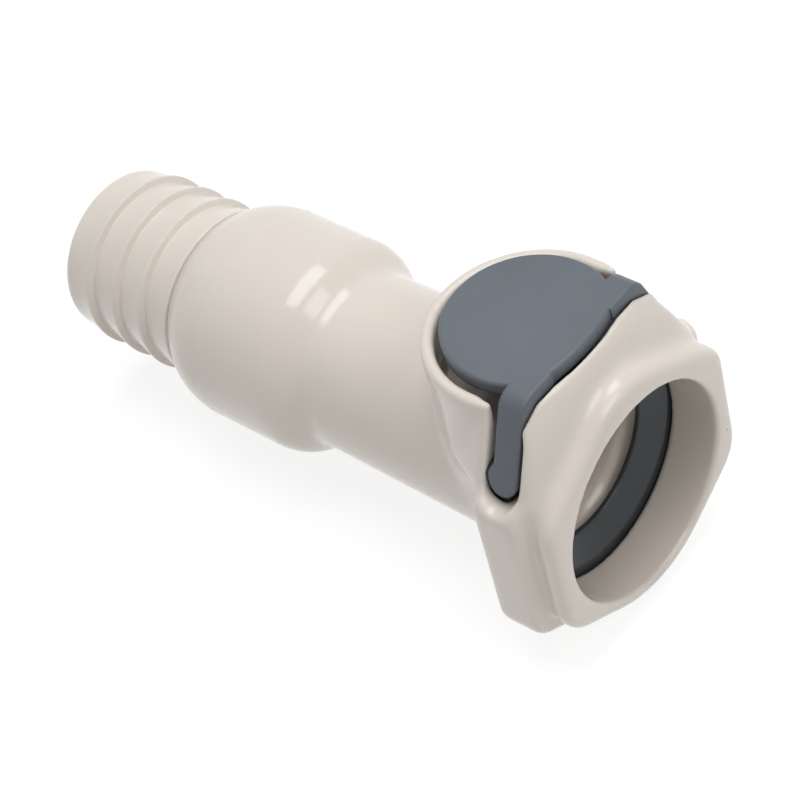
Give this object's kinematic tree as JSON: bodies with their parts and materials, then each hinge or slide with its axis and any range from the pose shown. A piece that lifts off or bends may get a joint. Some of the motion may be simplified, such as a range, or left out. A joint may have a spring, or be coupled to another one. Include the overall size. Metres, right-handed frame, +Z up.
{
  "type": "quick disconnect coupling body",
  "caption": "Latched quick disconnect coupling body with thumb pad, shut-off valve and hose barb for flexible tubing",
  "frame": {"origin": "on the flow axis, in the plane of the mouth", "axes": "+X runs along the flow axis and out of the mouth, +Z points up through the thumb pad, and the object is symmetric about Y = 0"},
  "size_m": [0.0787, 0.0326, 0.0367],
  "materials": {
    "almond_plastic": "glossy almond moulding",
    "almond_plastic_termination": "glossy almond moulding",
    "slate_plastic": "satin slate grey moulding",
    "latch_spring_steel": "drawn stainless wire",
    "poppet_plastic": "almond moulding",
    "seal_rubber": "black rubber",
    "guide_plastic": "almond moulding",
    "valve_spring_steel": "drawn stainless wire"
  },
  "bodies": {
    "body": {"main_body": "almond_plastic", "hose_barb": "almond_plastic_termination", "valve_guide": "guide_plastic", "latch_spring": "latch_spring_steel", "valve_spring": "valve_spring_steel"},
    "latch": {"thumb_latch": "slate_plastic"},
    "poppet": {"valve_poppet": "poppet_plastic", "poppet_seal": "seal_rubber"}
  },
  "joints": [
    {"name": "latch_press", "type": "slide", "parent": "body", "child": "latch", "axis": [0, 0, -1], "range_m": [0, 0.001], "stiffness_N_per_m": 3000, "springref_m": -0.001, "deforming": ["latch_spring"]},
    {"name": "valve_slide", "type": "slide", "parent": "body", "child": "poppet", "axis": [-1, 0, 0], "range_m": [0, 0.005], "stiffness_N_per_m": 800, "springref_m": -0.003, "deforming": ["valve_spring"]}
  ]
}
